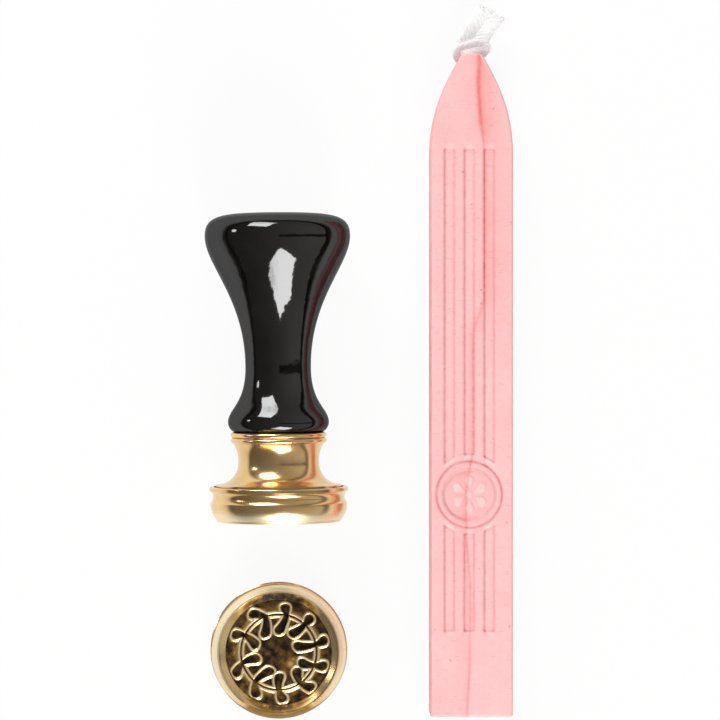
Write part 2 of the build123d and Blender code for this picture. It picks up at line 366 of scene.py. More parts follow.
def arc_through(start, middle, end, steps=12):
    """Points along the arc through three points, without its first point."""
    a, b, c = (complex(*p) for p in (start, middle, end))
    w = (c - a) / (b - a)
    centre = (b - a) * (w - abs(w) ** 2) / (2j * w.imag) + a
    first, last = (math.degrees(math.atan2((p - centre).imag, (p - centre).real)) for p in (a, c))
    half = math.degrees(math.atan2((b - centre).imag, (b - centre).real))
    turn = (last - first) % 360
    if not 0 < (half - first) % 360 < turn:
        turn -= 360
    return arc((centre.real, centre.imag), abs(a - centre), first, first + turn, steps)


def arc_from(start, heading, end, steps=12):
    """Points along the arc that leaves start along a unit heading and ends at end."""
    chord = (end[0] - start[0], end[1] - start[1])
    across = (-heading[1], heading[0])
    reach = chord[0] * across[0] + chord[1] * across[1]
    radius = (chord[0] ** 2 + chord[1] ** 2) / (2 * reach)
    centre = (start[0] + across[0] * radius, start[1] + across[1] * radius)
    first = math.atan2(start[1] - centre[1], start[0] - centre[0])
    last = math.atan2(end[1] - centre[1], end[0] - centre[0])
    turn = (last - first + math.pi) % (2 * math.pi) - math.pi
    return arc(centre, abs(radius), math.degrees(first), math.degrees(first + turn), steps)


def run(start, end, step):
    """Points on a straight run, about a step apart, without its first point."""
    parts = max(1, round(math.dist(start, end) / step))
    return [tuple(p + (q - p) * i / parts for p, q in zip(start, end)) for i in range(1, parts + 1)]


# ---- Turned pieces --------------------------------------------------------------------------
LATHE_HUB = 20 * MM        # any circle does: the outline is set out from it


def lathe_tree():
    """Turns an outline about Z, and stores how far each point lies along the outline."""
    tree, inputs = geometry_tree("Lathe", {"Steps": "Int"})
    outline = add(tree, "GeometryNodeMeshToCurve", {"Mesh": inputs["Thread"]})
    along = add(tree, "GeometryNodeSplineParameter").outputs["Length"]
    marked = add(tree, "GeometryNodeStoreNamedAttribute",
                 {"Geometry": outline, "Name": "turning", "Value": along}, data_type="FLOAT", domain="POINT")
    circle = add(tree, "GeometryNodeCurvePrimitiveCircle",
                 {"Resolution": inputs["Steps"], "Radius": LATHE_HUB}, mode="RADIUS")
    swept = add(tree, "GeometryNodeCurveToMesh", {"Curve": circle, "Profile Curve": marked})
    poles = add(tree, "GeometryNodeMergeByDistance", {"Geometry": swept, "Distance": 1e-6})
    return close_tree(tree, inputs, poles)


def turned(name, outline, material, steps=256, closed=False, relief=None, place=None):
    """Turns an outline of (radius, height) in metres; relief may lift its points and mark their patina and
    painted light.
    """
    tree = bpy.data.node_groups.get("Lathe") or lathe_tree()
    points = [(r - LATHE_HUB, -h, 0) for r, h in outline]
    thread = thread_mesh(name, points, closed)
    thing = grow(name, tree, thread, {"Steps": steps, "Material": material})
    mesh = thing.data
    flat = np.zeros(len(mesh.vertices) * 3)
    mesh.vertices.foreach_get("co", flat)
    spots = flat.reshape(-1, 3)
    patina = np.zeros(len(spots))
    if relief:
        spots, patina = relief(spots)
        mesh.vertices.foreach_set("co", spots.ravel())
    mesh.attributes.new("patina", "FLOAT", "POINT").data.foreach_set("value", patina)
    return close_up(thing, place)


def placed(origin, axis):
    """A frame whose Z runs along an axis and whose X lies flat."""
    axis = Vector(axis).normalized()
    side = Vector((-axis.y, axis.x, 0)) if abs(axis.z) < 0.9 else Vector((1, 0, 0))
    side.normalize()
    turn = Matrix((side, axis.cross(side), axis)).transposed().to_4x4()
    return Matrix.Translation(origin) @ turn


def stamp_frame(station=0.0):
    """The stamp's own frame at a station along its axis."""
    joint = next(joint for joint in frame["joints"] if joint["name"] == "die_unscrew")
    axis = Vector(joint["axis"]).normalized()
    return placed(Vector(joint["pos_m"]) + axis * (station - settings("sealing_stamp").stud_end), axis)


def spare_frame():
    """The spare head's frame: its back rim on the table and its face up."""
    low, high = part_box("spare_die")
    return placed(((low.x + high.x) / 2, (low.y + high.y) / 2, low.z), (0, 0, 1))


def handle_outline(s):
    """Dome, belly, waist and foot of the handle, with the socket for its insert."""
    points = [(0, 0)]
    points += bezier((0, 0), (s.dome_flat, 0), (s.dome_radius, s.dome_edge),
                     (s.dome_radius, s.dome_height), 40)
    points += bezier((s.dome_radius, s.dome_height), (s.dome_radius, s.dome_height + s.belly_pull),
                     (s.waist_radius, s.waist_at - s.waist_pull), (s.waist_radius, s.waist_at), 48)
    points += bezier((s.waist_radius, s.waist_at), (s.waist_radius, s.waist_at + s.swell_pull),
                     (s.foot_radius, s.foot_at - s.foot_pull), (s.foot_radius, s.foot_at), 32)
    points += arc_from((s.foot_radius, s.foot_at), (0, 1), (s.foot_face, s.handle_end), 14)
    return points + [(s.socket_radius, s.handle_end), (s.socket_radius, s.insert_top), (0, s.insert_top)]


def neck_outline(s):
    """Beads, a waist, a hollow flare and a foot plate round the stud's passing hole."""
    points = [(s.passing_radius, s.neck_top), (s.bead_root, s.neck_top)]
    for bead in range(s.beads):
        start = s.neck_top + bead * s.bead_width
        points += arc_through((s.bead_root, start), (s.bead_crest, start + s.bead_width / 2),
                              (s.bead_root, start + s.bead_width))
    bead_end = s.neck_top + s.beads * s.bead_width
    points += bezier((s.bead_root, bead_end), (s.neck_radius + s.cone_in, bead_end + s.cone_reach),
                     (s.neck_radius, s.neck_at - s.neck_ease), (s.neck_radius, s.neck_at))
    points += arc((s.neck_radius + s.flare, s.neck_at), s.flare, 180, 90, 28)
    return points + [(s.plate_radius, s.neck_at + s.flare), (s.plate_radius, s.neck_end),
                     (s.passing_radius, s.neck_end)]


RELIEF_STEP = 0.1 * MM   # ring spacing across the engraved field
THREAD_STEPS = 8           # rings in one pitch of a thread


def seal_outline(s, pitch):
    """The seal head from the middle of its hole's blind end, round the back and side, to its face."""
    floor = (s.hole_radius, s.recess_depth)
    points = [(0, s.hole_end), (s.hole_radius, s.hole_end)]
    points += run((s.hole_radius, s.hole_end), floor, pitch / THREAD_STEPS)
    points += [(s.recess_radius, s.recess_depth), (s.recess_radius, 0), (s.rim_radius - s.rim_edge, 0)]
    points += arc((s.rim_radius - s.rim_edge, s.rim_edge), s.rim_edge, -90, 0, 6)
    groove = (s.rim_radius, s.groove_start)
    points.append(groove)
    points += arc_through(groove, (s.rim_radius - s.groove_depth, (s.groove_start + s.band_start) / 2),
                          (s.band_radius, s.band_start), 14)
    points.append((s.band_radius, s.shoulder_start))
    shoulder_end = (s.crest_out, s.height - s.crest_drop)
    points += arc_from((s.band_radius, s.shoulder_start), (0, 1), shoulder_end, 12)
    points += bezier(shoulder_end, (s.crest_out, s.height - s.crest_drop / 3),
                     ((s.crest_out + s.crest_radius) / 2, s.height), (s.crest_radius, s.height), 8)
    crest_in = (s.crest_radius - s.crest_width, s.height)
    points.append(crest_in)
    points += run(crest_in, (s.field_radius, s.field_at), 0.25 * MM)
    return points + run((s.field_radius, s.field_at), (0, s.field_at), RELIEF_STEP)


def smooth(x):
    """Zero below 0, one above 1, and an easy rise between."""
    x = np.clip(x, 0, 1)
    return x * x * (3 - 2 * x)


def drop_distance(x, y, foot, tip, span):
    """Signed distance to a teardrop: a small circle at its foot and a larger one a span away along Y."""
    x = np.abs(x)
    lean = (foot - tip) / span
    rise = math.sqrt(1 - lean * lean)
    along = rise * y - lean * x
    side = rise * x + lean * y - foot
    return np.where(along < 0, np.hypot(x, y) - foot,
                    np.where(along > rise * span, np.hypot(x, y - span) - tip, side))


# The wreath's pairs of leaves, set out one by one: angle of the pair on the stem, then radius and angle of
# the outer leaf's tip and of the inner leaf's tip. Radii in mm, angles in degrees.
LEAF_PAIRS = (
    (11.8, 9.6, 19.3, 2.6, 31.0), (46.8, 9.5, 51.5, 3.4, 64.5), (78.2, 9.2, 88.0, 3.2, 104.0),
    (110.1, 9.1, 131.5, 3.7, 142.5), (153.4, 9.5, 163.5, 3.8, 176.0), (196.8, 9.5, 212.5, 3.2, 202.0),
    (231.3, 9.6, 247.5, 3.15, 261.0), (270.0, 9.6, 279.5, 3.5, 280.0), (304.4, 9.6, 318.0, 4.2, 326.0),
    (339.3, 9.6, 348.0, 3.5, 337.5))


def polar(radius, degrees):
    """A point at a radius and an angle."""
    return radius * math.cos(math.radians(degrees)), radius * math.sin(math.radians(degrees))


def wreath_distance(x, y, s):
    """Signed distance to the engraved wreath: below zero inside a leaf or the stem."""
    nearest = np.abs(np.hypot(x, y) - s.stem_radius) - s.stem_width / 2
    tip = s.leaf_width / 2
    for at, outer_radius, outer_at, inner_radius, inner_at in LEAF_PAIRS:
        root_x, root_y = polar(s.stem_radius, at)
        for reach, turn, side in ((outer_radius, outer_at, 1), (inner_radius, inner_at, -1)):
            end_x, end_y = polar(reach * MM, turn)
            end_x, end_y = end_x - root_x, end_y - root_y
            leaf = math.hypot(end_x, end_y)
            out = ((x - root_x) * end_x + (y - root_y) * end_y) / leaf
            share = np.clip(out / leaf, 0, 1)
            bow = side * 4 * s.leaf_bow * share * (1 - share)
            across = ((x - root_x) * end_y - (y - root_y) * end_x) / leaf - bow
            away = drop_distance(across, out, s.leaf_foot, tip, leaf - s.leaf_foot - tip)
            nearest = np.minimum(nearest, away)
    return nearest


def hump(x, width):
    """A soft ridge round zero."""
    return np.exp(-(x / width) ** 2)


# Patina runs from -1, rubbed pale and satin, through 0, polished, to 1, black oxide. Below zero it is partly
# wear and partly painted highlight, and on the lip and the spare head's rim it also carries painted shade.
# The lists of numbers below are shares of it, and every other number is a width in mm or a place.
SAME = 0.01 * MM           # heights and radii closer than this are the same
# A bare polished spot where a reflection falls on the field: a painted reflection.
PAINTED_REFLECTION_SPOT = (2.2 * MM, -2.2 * MM)
BORE_PATINA = 0.25


def field_patina(x, y, cut, line, s):
    """Brown ground, blackest in the leaves and by the field's edge; one bare spot stands in for a reflection,
    a painted reflection, and the raised lines are painted pale as a painted highlight.
    """
    radius, around = np.hypot(x, y), np.arctan2(y, x)
    outside = smooth((radius - s.stem_radius) / (0.3 * MM))
    outer_band = smooth((radius - s.stem_radius - 0.6 * MM) / (1.2 * MM))
    bare = hump(np.hypot(x - PAINTED_REFLECTION_SPOT[0], y - PAINTED_REFLECTION_SPOT[1]), 1.2 * MM)
    ground = 0.88 - 0.5 * outside + 0.46 * outer_band - 0.75 * bare
    in_leaves = cut * (0.9 + 0.14 * np.sin(around + 0.6))
    patina = np.where(cut > 0, np.maximum(ground, in_leaves), ground)
    # The raised lines are painted pale and satin: a painted highlight.
    return patina - (patina + 0.9) * np.minimum(1, 1.4 * line)


def lip_patina(up, around):
    """Stains down the sloping lip and a dark line at its foot, with painted shade at the two ends of the face
    and painted highlight on its sides and upper slope.
    """
    streak = 0.5 + 0.5 * np.sin(up * 17 + 2 * np.sin(around * 3))
    # Painted shade: darker at the top and bottom of the face, paler at its sides, as the light falls.
    ends = np.abs(np.sin(around)) ** 3 * (1.2 + 0.2 * np.sin(around))
    painted_pale = smooth(up * 2.5 - 1.4) * (1 - 0.6 * ends)
    return (-0.4 + 0.12 * streak + 0.95 * ends) * (1 - painted_pale) + 0.3 * hump(up, 0.1)


def rim_patina(radius, around, painted_rim_shade, s):
    """A rim rubbed pale, partly wear and partly painted highlight, with painted shade on its low side and in
    a thin line along its far outer edge.
    """
    # Painted shade on the low side and a painted dark line on the far outer edge, for the spare head only.
    low_side = 1.4 * hump(np.sin(around) + 1, 0.3)
    far_side = 2.0 * hump(np.cos(around - 2.2) - 1, 0.25) * smooth((radius - s.band_radius) / (0.2 * MM) + 1)
    worn = 0.9 * smooth((s.band_radius - radius) / (0.5 * MM))
    return np.minimum(0.36, painted_rim_shade * (low_side + far_side) - worn)


def thread_shrink(height, around, threaded, pitch, depth, radius):
    """How far a helical thread draws its wall in or out, as a share of the radius."""
    turn = height / pitch - around / (2 * math.pi)
    ridge = 1 - 2 * np.abs(turn - np.round(turn))
    return np.where(threaded > 0, 1 - depth * (1 - ridge) * threaded / radius, 1)


def seal_relief(s, pitch, depth, thread_start, painted_rim_shade):
    """Relief for a seal head: its wreath, its thread, and the patina that collects in both, with painted
    highlight on the raised lines and painted shade on the lip and rim.
    """
    def relief(spots):
        x, y, height = spots.T.copy()
        radius, around = np.hypot(x, y), np.arctan2(y, x)
        away = wreath_distance(x, y, s)
        fade = smooth((s.field_radius - radius) / (0.25 * MM))
        on_field = (np.abs(height - s.field_at) < SAME) & (radius < s.field_radius + SAME)
        cut = smooth(-away / (0.3 * MM))
        line = hump(away - s.burr_width, s.burr_width) * fade
        spots[:, 2] += np.where(on_field, s.burr * line - fade * s.engraving * cut, 0)
        up = (height - s.field_at) / (s.height - s.field_at)
        on_lip = (up > 0.01) & (radius < s.crest_radius - s.crest_width / 2)
        on_rim = (height > s.shoulder_start) & ~on_lip & (radius > s.crest_radius - s.crest_width)
        in_bore = (np.abs(radius - s.hole_radius) < SAME) & (height > s.recess_depth + SAME)
        patina = np.select(
            [in_bore, on_rim, on_lip, on_field],
            [BORE_PATINA, rim_patina(radius, around, painted_rim_shade, s), lip_patina(up, around),
             field_patina(x, y, cut, line, s)], 0.0)
        run_out = pitch / 2
        ends = smooth((height - s.recess_depth) / run_out) * smooth((s.hole_end - height) / run_out)
        shrink = thread_shrink(height + thread_start, around, in_bore * ends, pitch, depth, s.hole_radius)
        spots[:, :2] *= shrink[:, None]
        return spots, patina
    return relief


def thread_relief(s):
    """Relief for the stud: a right-hand thread whose crests keep the stud's radius."""
    def relief(spots):
        x, y, height = spots.T
        on_side = (np.hypot(x, y) > s.thread_radius - SAME).astype(float)
        shrink = thread_shrink(height, np.arctan2(y, x), on_side, s.thread_pitch, s.thread_depth,
                               s.thread_radius)
        spots[:, :2] *= shrink[:, None]
        return spots, np.zeros(len(spots))
    return relief


# ---- Wax ------------------------------------------------------------------------------------
# The crease where the wax closed over its wick: (offset to the right, distance from the tip) in mm.
CREASE = ((1.45, 0.0), (1.2, 5.7), (1.64, 12.1), (2.32, 16.8), (2.32, 45.2), (0.2, 51.6), (0.2, 73.7),
          (-0.6, 77.5), (-1.03, 81.0), (-1.03, 88.4), (-0.3, 97.0), (-0.3, 111.4), (-0.85, 122.1))
CREASE_CROSSES = 46 * MM      # where the crease crosses over to the left of the flutes' middle
CREASE_FAINT = 108 * MM
TIP_END = 17.5 * MM
COLUMNS_PER_FLUTE = 30
ROUNDING_STEPS = 7
# Painted glow on the side faces and the ends, and painted shade on the side faces.
SIDE_GLOW, SIDE_SHADE, END_GLOW = 0.5, 0.1, 0.2     # redness of the side faces and of the two ends


def rows_along(stops):
    """Distances that reach each stop in steps no longer than the stop's own."""
    rows = [0.0]
    for stop, step in stops:
        parts = max(1, math.ceil((stop - rows[-1]) / step))
        rows += [rows[-1] + (stop - rows[-1]) * i / parts for i in range(1, parts + 1)]
    return np.array(rows)


def stick_half_width(far, s, half):
    """Half width of the stick at distances from its tip."""
    curve = [(s.tip_half, 0)] + bezier((s.tip_half, 0), (s.tip_half + s.ogive_out, s.ogive_pull),
                                       (half, s.ogive - s.shoulder_pull), (half, s.ogive), 40)
    widths, stations = zip(*curve)
    return np.interp(far, stations, widths)


def rosette_height(x, y, s):
    """A plain rosette of petals round a dot, as a share of its full height."""
    height = smooth((0.9 * MM - np.hypot(x, y)) / (0.6 * MM))
    tip = s.petal_width / 2
    foot = tip / 3
    for petal in range(s.petals):
        heading = 2 * math.pi * petal / s.petals + math.pi / 2
        out = x * math.cos(heading) + y * math.sin(heading) - 0.9 * MM
        across = x * math.sin(heading) - y * math.cos(heading)
        away = drop_distance(across, out, foot, tip, s.petal_length - foot - tip)
        height = np.maximum(height, smooth(-away / (0.6 * MM)))
    return height


# Each part of the wax's relief gives a height in metres, a tint from -1, painted highlight, to 1, painted
# glow, and the darkness of thin lines of painted shade. Other numbers are widths in mm, or shares of one of
# these three.
FLUTE_WALL = 0.16 * MM


def flute_relief(band, far, clear, s):
    """Sunk flutes with painted shade along their walls, ends and corners, and a sunk scoop painted pale as a
    highlight where each flute ends.
    """
    outermost = (s.flutes - 1) / 2
    flute = band - s.flute_pitch * np.clip(np.round(band / s.flute_pitch), -outermost, outermost)
    within = np.minimum(np.minimum(far - s.flute_start, s.flute_end - far), clear)
    inside = smooth((s.flute_width / 2 + FLUTE_WALL - np.abs(flute)) / (2 * FLUTE_WALL))
    fluted = inside * smooth(within / (0.45 * MM))
    # Painted shade: the left walls darker than the right, as the light falls, with darker ends and corners.
    wall_shade = hump(np.abs(flute) - s.flute_width / 2, 0.28 * MM) * np.where(flute < 0, 0.42, 0.28)
    ends = 0.35 * hump(within - 0.1 * MM, 0.2 * MM) * inside
    corner = hump(flute + s.flute_width / 2 - 0.1 * MM, 0.3 * MM) * hump(within - 0.1 * MM, 0.3 * MM)
    line_shade = wall_shade * smooth(within / (0.2 * MM)) + ends * (within > -0.3 * MM) + 0.4 * corner
    # The scoop is sunk a little and painted pale: a painted highlight.
    scoop = inside * hump(within + 0.3 * MM, 0.4 * MM)
    return -s.flute_depth * fluted - 0.12 * MM * scoop, -0.8 * scoop, line_shade


def medal_relief(band, along, s):
    """A raised ring round a sunk field, with a rosette in it."""
    from_medal = np.hypot(band, along)
    across_ring = (from_medal - s.medal_radius + s.ring_width / 2) / (s.ring_width / 2)
    ring = np.clip(1 - across_ring ** 2, 0, 1) ** 0.8
    # Painted shade along the ring's two feet and round the petals; painted glow in the sunk field and painted
    # highlight on the petals.
    outer_foot = hump(from_medal - s.medal_radius, 0.26 * MM)
    inner_foot = hump(from_medal - s.medal_radius + s.ring_width, 0.22 * MM)
    sunk = smooth((s.medal_radius - s.ring_width - from_medal) / (0.35 * MM))
    rosette = rosette_height(band, along, s) * sunk
    petal_shade = 4 * rosette * (1 - rosette)
    height = s.ring_rise * ring - s.medal_sink * (sunk - 0.75 * rosette)
    height -= 0.03 * MM * (outer_foot + inner_foot)
    blush = 0.12 * sunk * (1 - 5 * rosette) + 0.06 * ring
    return height, blush, 0.55 * outer_foot + 0.3 * inner_foot + 0.14 * petal_shade


def crease_relief(x, far):
    """The crease over the wick: deep near the tip, where the wax folds down on its right, with painted glow
    round it, redder there, and a line of painted shade in it.
    """
    offsets, stations = np.array(CREASE).T * MM
    aside = x - np.interp(far, stations, offsets)
    crossed = smooth((far - CREASE_CROSSES) / (6 * MM))
    tip_end = smooth((TIP_END - far) / (6 * MM))
    reach = np.where(aside > 0, 2.6 - 2.35 * crossed, 0.5 + 0.7 * crossed) * MM
    # Painted glow spreads from the crease, wider and redder to its right near the tip as painted shade of the
    # folded side.
    painted_glow = np.exp(-np.abs(aside) / reach) + 0.1 * (aside > 0) * (1 - crossed)
    painted_glow += 0.8 * tip_end * np.exp(-np.abs(aside) / (1.2 * MM))
    crease = hump(aside, (0.24 + 0.16 * tip_end) * MM) * (1 - 0.6 * hump(far - CREASE_FAINT, 2 * MM))
    facet = np.clip(aside, 0, 1) * tip_end
    height = -0.05 * MM * crease - 0.08 * facet
    return height, (0.3 + 0.1 * tip_end) * painted_glow, (0.28 + 0.22 * tip_end) * crease


def wax_relief(x, far, s):
    """Height over the plain face, broad painted glow and highlight, and thin lines of painted shade, across
    and along the stick.
    """
    band = x - s.band_shift
    clear = np.hypot(band, far - s.medal_at) - s.medal_radius - s.moat
    parts = (flute_relief(band, far, clear, s), medal_relief(band, far - s.medal_at, s),
             crease_relief(x, far))
    height, blush, line_shade = (sum(part) for part in zip(*parts))
    sway = 0.015 * MM * (np.sin(x * 610 + far * 190) + np.sin(far * 420 - x * 230 + 1.3))
    return height + sway, np.clip(blush, -1, 1), np.clip(line_shade, 0, 0.8)


def wax_stick_mesh(s):
    """The moulded stick: one loop of points round it at each distance from the tip."""
    low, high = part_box("wax_stick")
    middle, half = (low.x + high.x) / 2, (high.x - low.x) / 2
    whole = high.y - low.y
    top_at = high.z - s.ring_rise
    fine, coarse = 0.13 * MM, 0.8 * MM
    zone = s.medal_radius + s.moat + 0.6 * MM
    rows = rows_along([(s.edge, fine), (s.flute_start - fine, 0.5 * MM), (s.flute_start + 6 * fine, fine),
                       (s.medal_at - zone, coarse), (s.medal_at + zone, fine),
                       (s.flute_end - 6 * fine, coarse), (s.flute_end + fine, fine),
                       (whole - s.edge, coarse), (whole, fine)])
    spacing = s.flute_pitch / COLUMNS_PER_FLUTE
    reach = math.ceil(half / spacing)
    columns = s.band_shift + (np.arange(-reach, 2 * reach) + 0.5) * spacing
    columns = columns[np.abs(columns) < half - s.edge]
    turns = np.radians(np.linspace(90, -90, 2 * ROUNDING_STEPS))
    bottom = np.linspace(1, -1, 12)[1:-1]
    edge_on = np.cos(turns) ** 3
    round_the_back = np.concatenate([edge_on, np.ones(len(bottom)), edge_on[::-1]])
    vertices, blush, groove = [], [], []
    for far in rows:
        end = min(far, whole - far, s.edge)
        inset = s.edge - math.sqrt(s.edge ** 2 - (s.edge - end) ** 2)
        width = float(stick_half_width(far, s, half)) - 0.75 * inset
        edge = min(s.edge, 0.8 * width)
        top, under = top_at - inset, low.z + inset
        flat = width - edge
        x = columns / (half - s.edge) * flat
        lift, painted_glow, line_shade = wax_relief(x, np.full_like(x, far), s)
        fade = smooth((flat - np.abs(x)) / (0.9 * MM)) * smooth(end / s.edge * 1.2)
        centre = np.where(turns > 0, top - edge, under + edge)
        side_x = flat + edge * np.cos(turns)
        side_z = centre + edge * np.sin(turns)
        loop_x = np.concatenate([x, side_x, bottom * flat, -side_x[::-1]])
        loop_z = np.concatenate([top + lift * fade, side_z, np.full(len(bottom), under), side_z[::-1]])
        vertices += [(middle + px, high.y - far, pz) for px, pz in zip(loop_x, loop_z)]
        blush += list(painted_glow) + list(SIDE_GLOW * round_the_back)
        groove += list(line_shade) + list(SIDE_SHADE * round_the_back)
    loop = len(vertices) // len(rows)
    steps = [(i, (i + 1) % loop) for i in range(loop)]
    faces = [(row + i, row + j, row + loop + j, row + loop + i)
             for row in range(0, (len(rows) - 1) * loop, loop) for i, j in steps]
    for row in (0, (len(rows) - 1) * loop):
        faces += [(row + i, row + j, len(vertices)) for i, j in steps]
        vertices.append(tuple(np.mean(vertices[row:row + loop], axis=0)))
        blush.append(END_GLOW)
        groove.append(0.0)
    mesh = bpy.data.meshes.new("fluted_wax_stick")
    mesh.from_pydata(vertices, [], faces)
    for name, values in (("blush", blush), ("groove", groove)):
        mesh.attributes.new(name, "FLOAT", "POINT").data.foreach_set("value", values)
    thing = bpy.data.objects.new("fluted_wax_stick", mesh)
    bpy.context.scene.collection.objects.link(thing)
    return close_up(thing)


# ---- Wick -----------------------------------------------------------------------------------
# The wick's line from inside the wax to its cut end, then the turn that it takes round the tip:
# (right, up, above its own middle, share of the braid's full width), in mm from the tip.
WICK_LINE = ((0.0, -4.0, 0.0, 0.4), (0.0, -1.2, 0.0, 0.5), (0.0, 0.2, 0.0, 1.08), (0.2, 1.6, 0.15, 1.32),
             (0.75, 3.2, 0.15, 1.22), (1.6, 4.8, 0.1, 1.15), (2.55, 6.2, 0.0, 1.18), (3.3, 7.3, 0.0, 1.27),
             (3.6, 7.9, 0.0, 1.28))
WRAP_LINE = ((-1.7, -0.6, -0.9, 0.36), (-2.0, -0.1, -0.1, 0.45), (-1.7, 0.7, 0.4, 0.56),
             (-0.4, 1.1, 0.6, 0.58), (1.2, 1.5, 0.55, 0.56), (2.2, 1.5, 0.2, 0.48),
             (2.1, 0.8, -0.4, 0.4), (1.5, 0.4, -0.9, 0.32))
BRAID_STEP = 0.22 * MM
FIBRES_PER_SQUARE_METRE = 2.2e6


def braid_tree():
    """Lays crossing strands along a thread, and grows loose fibres on them where the thread is loose."""
    tree, inputs = geometry_tree("Braid", {"Half Width": "Float", "Half Depth": "Float", "Strand": "Float",
                                           "Pitch": "Float", "Strands": "Int", "Fibre": "Float",
                                           "Seed": "Int"})
    line = add(tree, "GeometryNodeMeshToCurve", {"Mesh": inputs["Thread"]})
    even = add(tree, "GeometryNodeResampleCurve", {"Curve": line, "Length": BRAID_STEP}, mode="LENGTH")
    level = add(tree, "GeometryNodeSetCurveNormal", {"Curve": even}, mode="Z_UP")
    strands = add(tree, "GeometryNodeDuplicateElements", {"Geometry": level, "Amount": inputs["Strands"]},
                  domain="SPLINE")
    # Each strand swings once across and twice up and down in a pitch, which makes a flat plait.
    along = add(tree, "GeometryNodeSplineParameter").outputs["Length"]
    turns = add(tree, "ShaderNodeMath", [along, inputs["Pitch"]], operation="DIVIDE")
    share = add(tree, "ShaderNodeMath", [strands.outputs["Duplicate Index"], inputs["Strands"]],
                operation="DIVIDE")
    phase = add(tree, "ShaderNodeMath", [turns, share], operation="ADD")
    swings = []
    for turns_in_pitch, reach in ((1, "Half Width"), (2, "Half Depth")):
        swing = add(tree, "ShaderNodeMath", [phase, turns_in_pitch * 2 * math.pi], operation="MULTIPLY")
        swing = add(tree, "ShaderNodeMath", [swing], operation="SINE")
        swings.append(add(tree, "ShaderNodeMath", [swing, inputs[reach]], operation="MULTIPLY"))
    spread = add(tree, "GeometryNodeInputNamedAttribute", ["spread"], data_type="FLOAT")
    across = add(tree, "ShaderNodeMath", [swings[0], spread], operation="MULTIPLY")
    side = add(tree, "GeometryNodeInputNormal")
    heading = add(tree, "GeometryNodeInputTangent")
    up = add(tree, "ShaderNodeVectorMath", [side, heading], operation="CROSS_PRODUCT")
    sideways = add(tree, "ShaderNodeVectorMath", {0: side, "Scale": across}, operation="SCALE")
    upward = add(tree, "ShaderNodeVectorMath", {0: up, "Scale": swings[1]}, operation="SCALE")
    shift = add(tree, "ShaderNodeVectorMath", [sideways, upward], operation="ADD")
    laid = add(tree, "GeometryNodeSetPosition", {"Geometry": strands, "Offset": shift})
    section = add(tree, "GeometryNodeCurvePrimitiveCircle", {"Resolution": 7, "Radius": inputs["Strand"]},
                  mode="RADIUS")
    braid = add(tree, "GeometryNodeCurveToMesh", {"Curve": laid, "Profile Curve": section, "Fill Caps": True})
    # The fibres are short bent hairs, at random turns and sizes, on the loose stretch only.
    loose = add(tree, "GeometryNodeInputNamedAttribute", ["loose"], data_type="FLOAT")
    many = add(tree, "ShaderNodeMath", [loose, FIBRES_PER_SQUARE_METRE], operation="MULTIPLY")
    roots = add(tree, "GeometryNodeDistributePointsOnFaces",
                {"Mesh": braid, "Density": many, "Seed": inputs["Seed"]})
    bow = add(tree, "GeometryNodeCurveQuadraticBezier",
              {"Resolution": 4, "Start": (0, 0, -0.05), "Middle": (0.05, 0, 0.5), "End": (0.7, 0.1, 0.75)})
    hair = add(tree, "GeometryNodeCurvePrimitiveCircle", {"Resolution": 3, "Radius": 0.03}, mode="RADIUS")
    fibre = add(tree, "GeometryNodeCurveToMesh", {"Curve": bow, "Profile Curve": hair, "Fill Caps": True})
    twist = add(tree, "FunctionNodeRandomValue",
                {0: (-0.7, -0.7, 0.0), 1: (0.7, 0.7, 2 * math.pi), "Seed": inputs["Seed"]},
                data_type="FLOAT_VECTOR")
    turn = add(tree, "FunctionNodeRotateRotation",
               {"Rotation": roots.outputs["Rotation"], "Rotate By": twist}, rotation_space="LOCAL")
    size = add(tree, "FunctionNodeRandomValue", {2: 0.5, 3: 1.4, "Seed": inputs["Seed"]}, data_type="FLOAT")
    size = add(tree, "ShaderNodeMath", [size, inputs["Fibre"]], operation="MULTIPLY")
    fuzz = add(tree, "GeometryNodeInstanceOnPoints",
               {"Points": roots, "Instance": fibre, "Rotation": turn, "Scale": size})
    whole = add(tree, "GeometryNodeJoinGeometry", [fuzz])
    tree.links.new(braid.outputs[0], whole.inputs[0])
    return close_tree(tree, inputs, whole)


def smooth_line(points, steps=8):
    """A smooth line through given points, by cubic blends between them."""
    points = [np.array(p, float) for p in points]
    padded = [2 * points[0] - points[1], *points, 2 * points[-1] - points[-2]]
    line = [points[0]]
    for a, b, c, d in zip(padded, padded[1:], padded[2:], padded[3:]):
        for i in range(1, steps + 1):
            t = i / steps
            line.append(0.5 * (2 * b + (c - a) * t + (2 * a - 5 * b + 4 * c - d) * t ** 2
                               + (3 * b - a - 3 * c + d) * t ** 3))
    return line


def wick_part(name, points, s, material, seed, buried=None):
    """One braided length of wick along given points, in mm from the wax stick's tip."""
    low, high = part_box("wax_stick")
    knot_low, knot_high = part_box("wick")
    origin = Vector(((low.x + high.x) / 2, high.y, (knot_low.z + knot_high.z) / 2))
    line = smooth_line(points)
    if buried is not None:
        line.insert(0, np.array((0, (buried - high.y) / MM, 0, points[0][3])))
    mesh = thread_mesh(name, [origin + Vector(p[:3]) * MM for p in line])
    end = max(p[1] for p in line)
    mesh.attributes.new("spread", "FLOAT", "POINT").data.foreach_set("value", [p[3] for p in line])
    loose = [float(p[1] > 0.3) * (7 if p[1] > end - 0.5 else 1) for p in line]
    mesh.attributes.new("loose", "FLOAT", "POINT").data.foreach_set("value", loose)
    tree = bpy.data.node_groups.get("Braid") or braid_tree()
    values = {"Half Width": s.half_width, "Half Depth": s.half_depth, "Strand": s.strand, "Pitch": s.pitch,
              "Strands": s.strands, "Fibre": s.fibre, "Seed": seed, "Material": material}
    return close_up(grow(name, tree, mesh, values))


